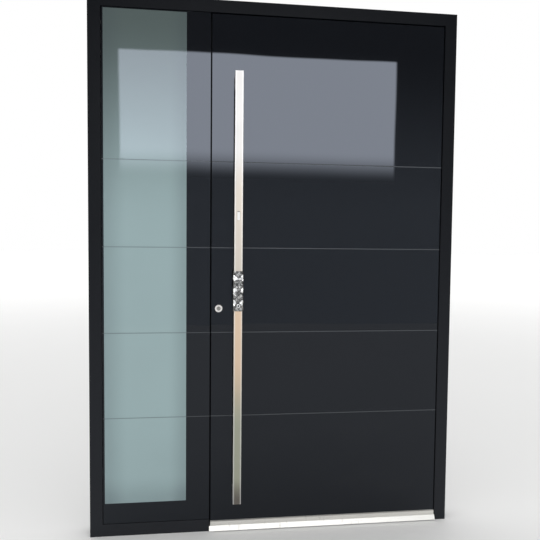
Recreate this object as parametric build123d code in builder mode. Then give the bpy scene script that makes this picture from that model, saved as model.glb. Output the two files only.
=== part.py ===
from build123d import *
import os

os.makedirs("parts", exist_ok=True)

# Whole element. X runs along its width, Y from the outside face to the inside, Z up.
# The origin is in the middle of the underside.
overall_width = 1565.0
overall_height = 2250.0
frame_depth = 90.0
sidelight_span = 498.0  # outer frame edge to the mullion's edge beside the leaf
leaf_gap = 5.0  # shadow gap round the leaf
bottom_gap = 4.0

# Frame profiles: outer and inner aluminium shells with insulating bars between them
frame_face = 52.0
frame_inner_face = 32.0
frame_outer_depth = 36.0
frame_break = 14.0
shell_wall = 2.0
groove_wall = 4.5
edge_round = 0.8
bar_thickness = 2.0
bar_head = 4.2
bar_seat = 2.5
bar_clearance = 0.05
bar_inset = 6.5  # bar centre line from the nearer side of the inner shell

# Mullion between sidelight and leaf
mullion_outer_face = 88.0
mullion_inner_face = 48.0

# Threshold
threshold_height = 24.0
nose_plate = 2.0
nose_reach = 10.0
nose_foot = 4.0
nose_back = 34.0

# Sidelight glazing unit
outer_pane = 8.0
middle_pane = 4.0
inner_pane = 6.0
glass_gap = 16.0
pane_joint = 2.0
tape_depth = 2.0
tape_face = 10.0
tape_inset = 4.0
spacer_face = 7.0
glazing_overlap = 12.0
gasket_face = 8.0
bead_gasket = 4.0
bead_face = 18.0
bead_wall = 1.5
block_length = 100.0
block_inset = 90.0

# Leaf
stile_face = 75.0
leaf_overlap = 20.0
leaf_shell_depth = 20.0
seal_space = 8.0
seal_face = 5.0
seal_slack = 0.3
inner_sheet_depth = 3.0
pane_arris = 0.8
weather_height = 20.5
weather_reach = 6.0
weather_sheet = 1.5
weather_lip = 20.0
weather_slope = 2.0

# Lock
lock_backset = 31.5  # cylinder centre from the leaf's outer edge
cylinder_height = 967.0
lever_rise = 92.0
latch_rise = 30.0
bolt_drop = 54.0
face_plate_width = 24.0
face_plate_depth = 3.0
face_plate_foot_inset = 102.0
face_plate_top_inset = 163.0
plate_clearance = 0.1
rod_width = 12.0
rod_depth = 2.6
rod_travel = 20.0
rod_spare = 2.2
case_width = 16.0
case_reach = 76.0
case_below = 88.0
case_above = 70.0
side_case_height = 120.0
side_case_reach = 50.0
side_bolt_foot_inset = 302.0
side_bolt_top_inset = 403.0
bolt_width = 14.0
bolt_height = 36.0
side_bolt_height = 24.0
bolt_length = 44.0
bolt_clearance = 0.1
latch_height = 30.0
latch_throw = 12.0
latch_length = 46.0
latch_slope = 9.0
follower_radius = 11.0
spindle_side = 8.0
running_fit = 0.05

# Cylinder
cylinder_radius = 8.5
cylinder_web = 10.0
cylinder_drop = 24.5
plug_radius = 6.5
cam_thickness = 5.4
cam_reach = 15.0
cam_width = 9.6
cam_slot = 10.0
cam_space = 1.0
cylinder_recess = 1.0
cylinder_inside = 4.0
rosette_radius = 15.5
rosette_proud = 2.0
rosette_bore = 8.7
keyway_width = 2.4
keyway_height = 8.5
keyway_depth = 20.0

# Keepers in the mullion
keeper_depth = 3.0
keeper_below = 40.0
keeper_above = 40.0
keeper_clearance = 1.5
jaw_thickness = 5.0
jaw_setback = 13.0  # jaw pivot from the mullion's edge
jaw_offset = 13.0  # jaw pivot from the lock's middle
jaw_pin_radius = 2.0
lug_height = 5.0
lug_half = 4.5

# Lever
lever_neck_radius = 9.5
lever_reach = 52.0
lever_length = 125.0
grip_height = 20.0
grip_depth = 11.0
spindle_seat = 16.0
rose_side = 54.0
rose_depth = 8.0
rose_bevel = 1.5

# Hinges
hinge_foot_inset = 272.0
hinge_top_inset = 233.0
hinge_pitch = 710.0  # from the top hinge down to the middle one
hinge_length = 120.0
hinge_radius = 10.0
hinge_pin_radius = 6.0
hinge_offset = 13.0  # pin centre from the inside face
hinge_plate = 5.0
hinge_plate_width = 26.0
hinge_plate_gap = 8.0
hinge_slack = 0.3

# Pull bar
bar_offset = 110.5  # bar centre from the leaf's outer edge
pull_foot_inset = 117.0
pull_top_inset = 248.0
pull_width = 34.0
pull_depth = 25.0
pull_wall = 2.0
pull_bevel = 1.2
leg_length = 40.0
leg_height = 60.0
cap_plate = 3.0
rod_radius = 4.0
rod_hole_clearance = 0.5
rod_in_leg = 25.0
rod_cap_radius = 12.0
rod_cap_depth = 4.0
window_width = 12.0
window_height = 38.0
window_rise = 391.0  # middle of the window above the cylinder
film_drop = 5.0  # foot of the film below the cylinder
film_height = 168.0
film_thickness = 5.0
film_slack = 0.3

# Fixing holes through the jambs
fixing_radius = 3.8
jamb_fixing_foot = 250.0
jamb_fixing_top_inset = 200.0

# Places that follow from the sizes
left = -overall_width / 2
right = overall_width / 2
outside = -frame_depth / 2
inside = frame_depth / 2
frame_inner_start = frame_outer_depth + frame_break
mullion_edge = left + sidelight_span
mullion_inner_edge = mullion_edge - leaf_overlap
leaf_left = mullion_edge + leaf_gap
leaf_right = right - frame_face - leaf_gap
leaf_top = overall_height - frame_face - leaf_gap
leaf_bottom = threshold_height + bottom_gap
leaf_width = leaf_right - leaf_left
leaf_shell_start = outer_pane + tape_depth
leaf_shell_end = leaf_shell_start + leaf_shell_depth
leaf_inner_start = frame_outer_depth + seal_space
leaf_inner_end = frame_depth - inner_sheet_depth
lock_line = (leaf_inner_start + leaf_inner_end) / 2
flange_left = leaf_left - leaf_overlap
flange_right = leaf_right + leaf_overlap
flange_top = leaf_top + leaf_overlap
cylinder_x = leaf_left + lock_backset
lever_height = cylinder_height + lever_rise
latch_place = lever_height + latch_rise
bolt_place = lever_height - bolt_drop
side_bolt_heights = (leaf_bottom + side_bolt_foot_inset, leaf_top - side_bolt_top_inset)
face_plate_foot = leaf_bottom + face_plate_foot_inset
face_plate_top = leaf_top - face_plate_top_inset
plate_face = flange_left
plate_back = flange_left + face_plate_depth
rod_back = plate_back + rod_depth + plate_clearance
case_start = rod_back + plate_clearance
case_end = case_start + case_reach
case_foot = cylinder_height - case_below
case_top = lever_height + case_above
pull_x = leaf_left + bar_offset
pull_foot = leaf_bottom + pull_foot_inset
pull_top = leaf_top - pull_top_inset
film_foot = cylinder_height - film_drop
hinge_x = (right - frame_inner_face + flange_right) / 2
hinge_y = inside + hinge_offset
top_hinge = leaf_top - hinge_top_inset
hinge_heights = (leaf_bottom + hinge_foot_inset, top_hinge - hinge_pitch, top_hinge)
jaw_x = mullion_inner_edge - jaw_setback
jaw_line = lock_line + jaw_offset
fixing_line = (frame_inner_start + frame_depth) / 2
jamb_fixing_pitch = (overall_height - jamb_fixing_top_inset - jamb_fixing_foot) / 3
jamb_fixings = [jamb_fixing_foot + step * jamb_fixing_pitch for step in range(4)]


def depth(distance):
    """Y of a point this far in from the outside face."""
    return outside + distance


def box(x0, x1, d0, d1, z0, z1, mode=Mode.ADD):
    """A block between two corners, its depth counted from the outside face."""
    with Locations(((x0 + x1) / 2, depth((d0 + d1) / 2), (z0 + z1) / 2)):
        Box(x1 - x0, d1 - d0, z1 - z0, mode=mode)


def rectangle(u0, u1, v0, v1, mode=Mode.ADD):
    """A rectangle between two corners of the active sketch."""
    with Locations(((u0 + u1) / 2, (v0 + v1) / 2)):
        Rectangle(u1 - u0, v1 - v0, mode=mode)


def draw_shell(u0, u1, d0, d1, grooved, bars, low_wall=shell_wall, high_wall=shell_wall):
    """Hollow extrusion whose thick wall holds the dovetail seats of the insulating bars."""
    rectangle(u0, u1, d0, d1)
    chamfer(vertices(), edge_round)
    near = groove_wall if grooved == "near" else shell_wall
    far = groove_wall if grooved == "far" else shell_wall
    rectangle(u0 + low_wall, u1 - high_wall, d0 + near, d1 - far, Mode.SUBTRACT)
    face = d0 if grooved == "near" else d1
    inward = 1 if grooved == "near" else -1
    neck = bar_thickness / 2 + bar_clearance
    head = bar_head / 2 + bar_clearance
    floor = face + inward * (bar_seat + bar_clearance)
    for u in bars:
        Polygon(
            (u - neck, face), (u + neck, face), (u + head, floor), (u - head, floor), mode=Mode.SUBTRACT
        )


def draw_bars(d0, d1, bars):
    """Insulating bars: a thin web with a dovetail head at each end."""
    neck = bar_thickness / 2
    head = bar_head / 2
    for u in bars:
        Polygon(
            (u - head, d0 - bar_seat),
            (u + head, d0 - bar_seat),
            (u + neck, d0),
            (u + neck, d1),
            (u + head, d1 + bar_seat),
            (u - head, d1 + bar_seat),
            (u - neck, d1),
            (u - neck, d0),
        )


def member(draw, plane, length, mitres=()):
    """A straight profile drawn across its plane, extruded and cut to its mitres."""
    with BuildPart() as profile:
        with BuildSketch(plane):
            draw()
        extrude(amount=length)
        for corner, normal, keep in mitres:
            split(bisect_by=Plane(origin=corner, z_dir=normal), keep=keep)
    return profile


def write(part, name):
    """Label a finished piece and write its file."""
    part.label = name
    export_step(part, f"parts/{name}.step")


def ring(x0, x1, z0, z1, face, d0, d1):
    """A rectangular ring, its outer edge given, lying flat against the glass."""
    with BuildPart() as loop:
        box(x0, x1, d0, d1, z0, z1)
        box(x0 + face, x1 - face, d0, d1, z0 + face, z1 - face, Mode.SUBTRACT)
    return loop


# Frame members. Each plane's own X runs from the outer edge towards the opening, its Y into the depth.
left_plane = Plane(origin=(left, outside, 0), x_dir=(1, 0, 0), z_dir=(0, 0, 1))
right_plane = Plane(origin=(right, outside, overall_height), x_dir=(-1, 0, 0), z_dir=(0, 0, -1))
head_plane = Plane(origin=(left, outside, overall_height), x_dir=(0, 0, -1), z_dir=(1, 0, 0))
outer_sill_plane = Plane(origin=(mullion_edge, outside, 0), x_dir=(0, 0, 1), z_dir=(-1, 0, 0))
inner_sill_plane = Plane(origin=(mullion_inner_edge, outside, 0), x_dir=(0, 0, 1), z_dir=(-1, 0, 0))
top_left = (left, 0, overall_height)
top_right = (right, 0, overall_height)
foot_left = (left, 0, 0)
left_jamb_cuts = ((top_left, (1, 0, 1), Keep.BOTTOM), (foot_left, (1, 0, -1), Keep.BOTTOM))
right_jamb_cuts = ((top_right, (-1, 0, 1), Keep.BOTTOM),)
head_cuts = ((top_left, (1, 0, 1), Keep.TOP), (top_right, (-1, 0, 1), Keep.TOP))
sill_cuts = ((foot_left, (1, 0, -1), Keep.TOP),)
frame_bars = (bar_inset, frame_inner_face - bar_inset)


def draw_frame_outer():
    draw_shell(0, frame_face, 0, frame_outer_depth, "far", frame_bars)


def draw_frame_inner():
    draw_shell(0, frame_inner_face, frame_inner_start, frame_depth, "near", frame_bars)


def draw_frame_bars():
    draw_bars(frame_outer_depth, frame_inner_start, frame_bars)


frame_runs = {
    "jamb_left": (left_plane, left_plane, overall_height, overall_height, left_jamb_cuts),
    "jamb_right": (right_plane, right_plane, overall_height, overall_height, right_jamb_cuts),
    "head": (head_plane, head_plane, overall_width, overall_width, head_cuts),
    "sill": (outer_sill_plane, inner_sill_plane, sidelight_span, sidelight_span - leaf_overlap, sill_cuts),
}
frame_bar_parts = []
for name, (outer_plane, inner_plane, outer_run, inner_run, cuts) in frame_runs.items():
    outer = member(draw_frame_outer, outer_plane, outer_run, cuts)
    write(outer.part, f"{name}_outer_shell")
    inner = member(draw_frame_inner, inner_plane, inner_run, cuts)
    with inner:
        if name.startswith("jamb"):
            wall_x = left if name == "jamb_left" else right
            for z in jamb_fixings:
                with Locations(Location((wall_x, depth(fixing_line), z), (0, 90, 0))):
                    Cylinder(fixing_radius, 2 * frame_inner_face + 2, mode=Mode.SUBTRACT)
    write(inner.part, f"{name}_inner_shell")
    bars = member(draw_frame_bars, inner_plane, inner_run, cuts)
    frame_bar_parts += bars.part.solids()

# Mullion, standing on the sill and reaching up to the head
keeper_wall = keeper_depth + shell_wall
mullion_left = mullion_edge - mullion_outer_face
mullion_inner_left = mullion_inner_edge - mullion_inner_face
mullion_bars = (mullion_inner_left + bar_inset + shell_wall, mullion_inner_edge - bar_inset)
mullion_outer_plane = Plane(origin=(0, outside, frame_face), x_dir=(1, 0, 0), z_dir=(0, 0, 1))
mullion_inner_plane = Plane(origin=(0, outside, frame_inner_face), x_dir=(1, 0, 0), z_dir=(0, 0, 1))


def draw_mullion_outer():
    draw_shell(mullion_left, mullion_edge, leaf_shell_start, frame_outer_depth, "far", mullion_bars)


def draw_mullion_inner():
    draw_shell(
        mullion_inner_left, mullion_inner_edge, frame_inner_start, frame_depth, "near", mullion_bars,
        high_wall=keeper_wall,
    )


def draw_mullion_bars():
    draw_bars(frame_outer_depth, frame_inner_start, mullion_bars)


mullion_outer = member(draw_mullion_outer, mullion_outer_plane, overall_height - 2 * frame_face)
write(mullion_outer.part, "mullion_outer_shell")

bolt_slot = bolt_width / 2 + keeper_clearance
side_bolt_slot = side_bolt_height / 2 + keeper_clearance
pocket_foot = latch_place - latch_height / 2 - keeper_clearance
pocket_top = latch_place + latch_height / 2 + keeper_clearance
pocket_start = lock_line - bolt_width / 2 - keeper_clearance
pocket_left = jaw_x - jaw_thickness / 2 - keeper_clearance
lug_start = jaw_line - lug_half
lug_end = jaw_line + lug_half
plate_half = face_plate_width / 2
main_slot = bolt_height / 2 + keeper_clearance
keeper_foot = bolt_place - bolt_height / 2 - keeper_below
keeper_top = latch_place + latch_height / 2 + keeper_above
mullion_inner = member(
    draw_mullion_inner, mullion_inner_plane, overall_height - 2 * frame_inner_face
)
with mullion_inner:
    edge = mullion_inner_edge
    near = lock_line - plate_half
    far = lock_line + plate_half
    plate_seats = [(keeper_foot, keeper_top)]
    plate_seats += [(z - side_case_height / 2, z + side_case_height / 2) for z in side_bolt_heights]
    for foot, top in plate_seats:
        box(edge - keeper_depth, edge, near, far, foot, top, Mode.SUBTRACT)
    for z in side_bolt_heights:
        box(
            edge - keeper_wall - 1, edge, lock_line - bolt_slot, lock_line + bolt_slot,
            z - side_bolt_slot, z + side_bolt_slot, Mode.SUBTRACT,
        )
    box(
        edge - keeper_wall - 1, edge, lock_line - bolt_slot, lock_line + bolt_slot,
        bolt_place - main_slot, bolt_place + main_slot, Mode.SUBTRACT,
    )
    box(
        pocket_left, edge, pocket_start, frame_depth, pocket_foot, pocket_top, Mode.SUBTRACT
    )
    box(
        pocket_left, edge - keeper_depth, lug_start - plate_clearance, lug_end + plate_clearance,
        pocket_foot - lug_height - plate_clearance, pocket_top + lug_height + plate_clearance,
        Mode.SUBTRACT,
    )
write(mullion_inner.part, "mullion_inner_shell")
mullion_bar = member(draw_mullion_bars, mullion_outer_plane, overall_height - 2 * frame_face)
frame_bar_parts += mullion_bar.part.solids()
write(Compound(children=frame_bar_parts), "frame_insulating_bars")

# Main keeper: a plate with two lugs that hold the jaw's pivot
with BuildPart() as keeper_main:
    plate_left = mullion_inner_edge - keeper_depth
    plate_near = lock_line - plate_half + plate_clearance
    plate_far = lock_line + plate_half - plate_clearance
    box(
        plate_left, mullion_inner_edge, plate_near, plate_far,
        keeper_foot + plate_clearance, keeper_top - plate_clearance,
    )
    box(
        plate_left, mullion_inner_edge, lock_line - bolt_slot, lock_line + bolt_slot,
        bolt_place - main_slot, bolt_place + main_slot, Mode.SUBTRACT,
    )
    box(plate_left, mullion_inner_edge, pocket_start, plate_far, pocket_foot, pocket_top, Mode.SUBTRACT)
    for foot in (pocket_foot - lug_height, pocket_top):
        box(pocket_left + plate_clearance, plate_left, lug_start, lug_end, foot, foot + lug_height)
        with Locations((jaw_x, depth(jaw_line), foot + lug_height / 2)):
            Cylinder(jaw_pin_radius + running_fit, lug_height, mode=Mode.SUBTRACT)
write(keeper_main.part, "keeper_main")

# Release jaw, standing open along the pocket's side at rest
with BuildPart() as keeper_jaw:
    box(
        jaw_x - jaw_thickness / 2, jaw_x + jaw_thickness / 2, jaw_line - jaw_thickness / 2,
        frame_depth - edge_round, pocket_foot + running_fit, pocket_top - running_fit,
    )
    chamfer(keeper_jaw.edges().filter_by(Axis.Z).group_by(Axis.Y)[0], edge_round)
    with Locations((jaw_x, depth(jaw_line), (pocket_foot + pocket_top) / 2)):
        Cylinder(jaw_pin_radius, pocket_top - pocket_foot + 2 * lug_height - 1)
write(keeper_jaw.part, "keeper_jaw")

# Side keepers
side_keepers = []
for z in side_bolt_heights:
    half = side_case_height / 2 - plate_clearance
    with BuildPart() as side_keeper:
        box(plate_left, mullion_inner_edge, plate_near, plate_far, z - half, z + half)
        box(
            plate_left, mullion_inner_edge, lock_line - bolt_slot, lock_line + bolt_slot,
            z - side_bolt_slot, z + side_bolt_slot, Mode.SUBTRACT,
        )
    side_keepers += side_keeper.part.solids()
write(Compound(children=side_keepers), "keepers_side")

# Threshold between the sill and the right jamb
jamb_lip = right - frame_face
jamb_inner_lip = right - frame_inner_face
with BuildPart() as threshold_outer:
    with BuildSketch(Plane(origin=(mullion_edge, outside, 0), x_dir=(0, 1, 0), z_dir=(1, 0, 0))):
        rectangle(0, frame_outer_depth, 0, threshold_height - nose_plate)
        chamber = (frame_outer_depth - 3 * shell_wall) / 2
        for start in (shell_wall, 2 * shell_wall + chamber):
            rectangle(
                start, start + chamber, shell_wall, threshold_height - nose_plate - shell_wall,
                Mode.SUBTRACT,
            )
    extrude(amount=jamb_lip - mullion_edge)
write(threshold_outer.part, "threshold_outer")

with BuildPart() as threshold_inner:
    with BuildSketch(Plane(origin=(mullion_inner_edge, outside, 0), x_dir=(0, 1, 0), z_dir=(1, 0, 0))):
        rectangle(frame_inner_start, frame_depth, 0, threshold_height)
        rectangle(
            frame_inner_start + shell_wall, frame_depth - shell_wall, shell_wall,
            threshold_height - shell_wall, Mode.SUBTRACT,
        )
    extrude(amount=jamb_inner_lip - mullion_inner_edge)
write(threshold_inner.part, "threshold_inner")

with BuildPart() as threshold_break:
    box(
        mullion_inner_edge, jamb_inner_lip, frame_outer_depth, frame_inner_start,
        0, threshold_height - nose_plate,
    )
write(threshold_break.part, "threshold_insulator")

with BuildPart() as threshold_nose:
    with BuildSketch(Plane(origin=(mullion_edge, outside, 0), x_dir=(0, 1, 0), z_dir=(1, 0, 0))):
        Polygon(
            (-nose_reach, nose_foot),
            (-nose_plate, threshold_height),
            (nose_back, threshold_height),
            (nose_back, threshold_height - nose_plate),
            (-nose_plate / 2, threshold_height - nose_plate),
            (nose_plate - nose_reach, nose_foot),
        )
    extrude(amount=jamb_lip - mullion_edge)
write(threshold_nose.part, "threshold_nose")

# Sidelight glazing unit, its inner pane wider than the rest and held in the rebate
pane_left = left + frame_face + pane_joint
pane_foot = frame_face + pane_joint
pane_top = overall_height - frame_face - pane_joint
unit_right = mullion_left - pane_joint * 2
clamp_left = left + frame_face - glazing_overlap
clamp_right = mullion_left + glazing_overlap
clamp_foot = frame_face - glazing_overlap
clamp_top = overall_height - clamp_foot
middle_start = outer_pane + glass_gap
inner_start = middle_start + middle_pane + glass_gap
bead_start = inner_start + inner_pane + bead_gasket

with BuildPart() as sidelight_outer_pane:
    box(pane_left, mullion_edge, 0, outer_pane, pane_foot, pane_top)
    chamfer(sidelight_outer_pane.edges().group_by(Axis.Y)[0], pane_arris)
write(sidelight_outer_pane.part, "sidelight_outer_pane")

with BuildPart() as sidelight_middle_pane:
    box(pane_left, unit_right, middle_start, middle_start + middle_pane, pane_foot, pane_top)
write(sidelight_middle_pane.part, "sidelight_middle_pane")

with BuildPart() as sidelight_inner_pane:
    box(clamp_left, clamp_right, inner_start, inner_start + inner_pane, clamp_foot, clamp_top)
write(sidelight_inner_pane.part, "sidelight_inner_pane")

spacers = []
for start in (outer_pane, middle_start + middle_pane):
    spacer = ring(pane_left, unit_right, pane_foot, pane_top, spacer_face, start, start + glass_gap)
    spacers += spacer.part.solids()
write(Compound(children=spacers), "sidelight_spacers")

gasket_outer = ring(
    clamp_left + pane_joint, clamp_right - pane_joint, clamp_foot + pane_joint, clamp_top - pane_joint,
    gasket_face, frame_outer_depth, inner_start,
)
gasket_inner = ring(
    clamp_left, clamp_right, clamp_foot, clamp_top, gasket_face, inner_start + inner_pane, bead_start
)
write(Compound(children=gasket_outer.part.solids() + gasket_inner.part.solids()), "glazing_gaskets")

with BuildPart() as mullion_tape:
    box(
        mullion_edge - tape_face - tape_inset, mullion_edge - tape_inset, outer_pane, leaf_shell_start,
        pane_foot, pane_top,
    )
    box(
        mullion_left + tape_inset, mullion_left + tape_inset + tape_face, outer_pane, leaf_shell_start,
        pane_foot, pane_top,
    )
write(mullion_tape.part, "sidelight_bond_tape")

# Glazing beads: hollow bars clipped to the inner shells, the uprights between the long ones
bead_left = left + frame_inner_face
bead_right = mullion_inner_left
bead_foot = frame_inner_face
bead_top = overall_height - frame_inner_face


def bead(x0, x1, z0, z1, along):
    """A hollow bead, open at its two ends."""
    with BuildPart() as hollow:
        box(x0, x1, bead_start, frame_depth, z0, z1)
        chamfer(hollow.edges().filter_by(along).group_by(Axis.Y)[-1], edge_round)
        cut_x = bead_wall if along == Axis.Z else 0
        cut_z = bead_wall if along == Axis.X else 0
        box(
            x0 + cut_x, x1 - cut_x, bead_start + bead_wall, frame_depth - bead_wall,
            z0 + cut_z, z1 - cut_z, Mode.SUBTRACT,
        )
    return hollow


upright = (bead_foot + bead_face, bead_top - bead_face)
beads = [
    bead(bead_left, bead_right, bead_foot, bead_foot + bead_face, Axis.X),
    bead(bead_left, bead_right, bead_top - bead_face, bead_top, Axis.X),
    bead(bead_left, bead_left + bead_face, *upright, Axis.Z),
    bead(bead_right - bead_face, bead_right, *upright, Axis.Z),
]
write(Compound(children=[hollow.part.solid() for hollow in beads]), "glazing_beads")

with BuildPart() as setting_blocks:
    for x in (clamp_left + block_inset, clamp_right - block_inset - block_length):
        box(x, x + block_length, inner_start, bead_start, frame_inner_face, clamp_foot)
write(setting_blocks.part, "setting_blocks")

# Leaf profiles. Each plane's own X runs from the leaf's outer edge towards its middle.
leaf_height = leaf_top - leaf_bottom
leaf_left_plane = Plane(origin=(leaf_left, outside, leaf_bottom), x_dir=(1, 0, 0), z_dir=(0, 0, 1))
leaf_right_plane = Plane(
    origin=(leaf_right, outside, flange_top), x_dir=(-1, 0, 0), z_dir=(0, 0, -1)
)
leaf_top_plane = Plane(origin=(flange_left, outside, leaf_top), x_dir=(0, 0, -1), z_dir=(1, 0, 0))
leaf_foot_plane = Plane(
    origin=(leaf_right - stile_face, outside, leaf_bottom), x_dir=(0, 0, 1), z_dir=(-1, 0, 0)
)
leaf_corner_left = (leaf_left, 0, leaf_top)
leaf_corner_right = (leaf_right, 0, leaf_top)
leaf_bars = (2 * bar_inset, stile_face - bar_inset)
lock_wall = face_plate_depth + rod_depth + 2 * plate_clearance + shell_wall
stile_run = leaf_height + leaf_overlap


def draw_leaf_outer():
    draw_shell(0, stile_face, leaf_shell_start, leaf_shell_end, "far", leaf_bars)


def draw_leaf_inner():
    draw_shell(-leaf_overlap, stile_face, leaf_inner_start, leaf_inner_end, "near", leaf_bars)


def draw_lock_inner():
    draw_shell(
        -leaf_overlap, stile_face, leaf_inner_start, leaf_inner_end, "near", leaf_bars,
        low_wall=lock_wall,
    )
    groove = plate_half + plate_clearance
    channel = rod_width / 2 + plate_clearance
    rectangle(
        -leaf_overlap, face_plate_depth - leaf_overlap, lock_line - groove, lock_line + groove,
        Mode.SUBTRACT,
    )
    rectangle(
        -leaf_overlap, lock_wall - shell_wall - leaf_overlap, lock_line - channel, lock_line + channel,
        Mode.SUBTRACT,
    )


def draw_foot_inner():
    draw_shell(0, stile_face, leaf_inner_start, leaf_inner_end, "near", leaf_bars)


def draw_leaf_bars():
    draw_bars(leaf_shell_end, leaf_inner_start, leaf_bars)


left_stile_cuts = ((leaf_corner_left, (1, 0, 1), Keep.BOTTOM),)
right_stile_cuts = ((leaf_corner_right, (-1, 0, 1), Keep.BOTTOM),)
top_rail_cuts = (
    (leaf_corner_left, (1, 0, 1), Keep.TOP),
    (leaf_corner_right, (-1, 0, 1), Keep.TOP),
)
foot_run = leaf_width - 2 * stile_face
leaf_runs = {
    "stile_lock": (leaf_left_plane, stile_run, left_stile_cuts, draw_lock_inner),
    "stile_hinge": (leaf_right_plane, stile_run, right_stile_cuts, draw_leaf_inner),
    "rail_top": (leaf_top_plane, flange_right - flange_left, top_rail_cuts, draw_leaf_inner),
    "rail_bottom": (leaf_foot_plane, foot_run, (), draw_foot_inner),
}


def cylinder_profile(d0, d1, grow):
    """The cylinder's outline through the leaf: a round head over a narrow web."""
    with Locations(Location((cylinder_x, depth((d0 + d1) / 2), cylinder_height), (90, 0, 0))):
        Cylinder(cylinder_radius + grow, d1 - d0, mode=Mode.SUBTRACT)
    web = cylinder_web / 2 + grow
    box(
        cylinder_x - web, cylinder_x + web, d0, d1, cylinder_height - cylinder_drop - grow,
        cylinder_height, Mode.SUBTRACT,
    )


def square_hole(x, z, half, d0, d1):
    """A square opening running through the leaf's depth."""
    box(x - half, x + half, d0, d1, z - half, z + half, Mode.SUBTRACT)


def cylinder_pocket(d0, d1):
    """The plain milled slot that clears the cylinder inside the leaf."""
    half = cylinder_radius + 3 * plate_clearance
    box(
        cylinder_x - half, cylinder_x + half, d0, d1,
        cylinder_height - cylinder_drop - 3 * plate_clearance, cylinder_height + half, Mode.SUBTRACT,
    )


def round_hole(x, z, radius, d0, d1):
    """A hole running through the leaf's depth."""
    with Locations(Location((x, depth((d0 + d1) / 2), z), (90, 0, 0))):
        Cylinder(radius, d1 - d0, mode=Mode.SUBTRACT)


def case_cut(foot, top):
    """The opening behind the face plate that a lock case is pushed in through."""
    half = case_width / 2 + plate_clearance
    box(
        flange_left, case_start + shell_wall, lock_line - half, lock_line + half,
        foot - plate_clearance, top + plate_clearance, Mode.SUBTRACT,
    )


spindle_clearance = spindle_side * 0.75 + plate_clearance
leaf_bar_parts = []
leaf_outer_parts = []
for name, (plane, run, cuts, draw_inner) in leaf_runs.items():
    outer = member(draw_leaf_outer, plane, run, cuts)
    inner = member(draw_inner, plane, run, cuts)
    if name == "stile_lock":
        with outer:
            cylinder_pocket(leaf_shell_start, leaf_shell_end)
        with inner:
            cylinder_pocket(leaf_inner_start, leaf_inner_end)
            square_hole(cylinder_x, lever_height, spindle_clearance, lock_line, leaf_inner_end)
            case_cut(case_foot, case_top)
            for z in side_bolt_heights:
                case_cut(z - side_case_height / 2, z + side_case_height / 2)
    leaf_outer_parts += outer.part.solids()
    write(inner.part, f"{name}_inner_shell")
    bars = member(draw_leaf_bars, plane, run, cuts)
    leaf_bar_parts += bars.part.solids()
write(Compound(children=leaf_outer_parts), "leaf_outer_shells")
write(Compound(children=leaf_bar_parts), "leaf_insulating_bars")

# Leaf infill and skins
rods = [(pull_x, pull_foot + leg_height / 2), (pull_x, pull_top - leg_height / 2)]
rod_hole = rod_radius + rod_hole_clearance
with BuildPart() as leaf_outer_pane:
    box(leaf_left, leaf_right, 0, outer_pane, leaf_bottom, leaf_top)
    chamfer(leaf_outer_pane.edges().group_by(Axis.Y)[0], pane_arris)
    for x, z in rods:
        round_hole(x, z, rod_hole, 0, outer_pane)
    round_hole(cylinder_x, cylinder_height, rosette_radius + plate_clearance, 0, outer_pane)
write(leaf_outer_pane.part, "leaf_outer_pane")

with BuildPart() as leaf_core:
    box(
        leaf_left + stile_face, leaf_right - stile_face, outer_pane, leaf_inner_end,
        leaf_bottom + stile_face, leaf_top - stile_face,
    )
    for x, z in rods:
        square_hole(x, z, rod_hole, outer_pane, leaf_inner_end)
write(leaf_core.part, "leaf_core")

leaf_tape = ring(
    leaf_left + tape_inset, leaf_right - tape_inset, leaf_bottom + tape_inset, leaf_top - tape_inset,
    tape_face, outer_pane, leaf_shell_start,
)
write(leaf_tape.part, "leaf_bond_tape")

with BuildPart() as leaf_inner_sheet:
    box(flange_left, flange_right, leaf_inner_end, frame_depth, leaf_bottom, flange_top)
    for x, z in rods:
        round_hole(x, z, rod_hole, leaf_inner_end, frame_depth)
    cylinder_pocket(leaf_inner_end, frame_depth)
    square_hole(cylinder_x, lever_height, spindle_clearance, leaf_inner_end, frame_depth)
write(leaf_inner_sheet.part, "leaf_inner_sheet")

# Seals on the leaf: one round its flange, behind the frame's lip, and one under it
with BuildPart() as leaf_seal:
    x0 = mullion_edge - seal_face - edge_round
    x1 = jamb_lip + seal_face + edge_round
    z1 = overall_height - frame_face + seal_face + edge_round
    box(x0, x1, frame_outer_depth + seal_slack, leaf_inner_start, leaf_bottom, z1)
    box(
        x0 + seal_face, x1 - seal_face, frame_outer_depth, leaf_inner_start, leaf_bottom, z1 - seal_face,
        Mode.SUBTRACT,
    )

with BuildPart() as bottom_seal:
    box(
        flange_left, flange_right, lock_line - seal_face, lock_line + seal_face,
        threshold_height + seal_slack, leaf_bottom,
    )
write(Compound(children=leaf_seal.part.solids() + bottom_seal.part.solids()), "leaf_seals")

# Folded weather strip under and in front of the leaf's lower edge
weather_foot = leaf_bottom - weather_sheet
weather_top = weather_foot + weather_height
with BuildPart() as weather_strip:
    with BuildSketch(Plane(origin=(leaf_left, outside, 0), x_dir=(0, 1, 0), z_dir=(1, 0, 0))):
        Polygon(
            (0, weather_top),
            (-weather_reach, weather_top - weather_slope),
            (-weather_reach, weather_foot),
            (weather_lip, weather_foot),
            (weather_lip, leaf_bottom),
            (weather_sheet - weather_reach, leaf_bottom),
            (weather_sheet - weather_reach, weather_top - weather_slope - weather_sheet),
            (0, weather_top - weather_sheet),
        )
    extrude(amount=leaf_width)
write(weather_strip.part, "weather_strip")

# Face plate of the lock, let into the stile's edge
bolt_half = bolt_width / 2 + bolt_clearance


def bolt_window(x0, x1, z, height):
    """An opening that a bolt of this height runs through."""
    half = height / 2 + bolt_clearance
    box(x0, x1, lock_line - bolt_half, lock_line + bolt_half, z - half, z + half, Mode.SUBTRACT)


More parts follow.
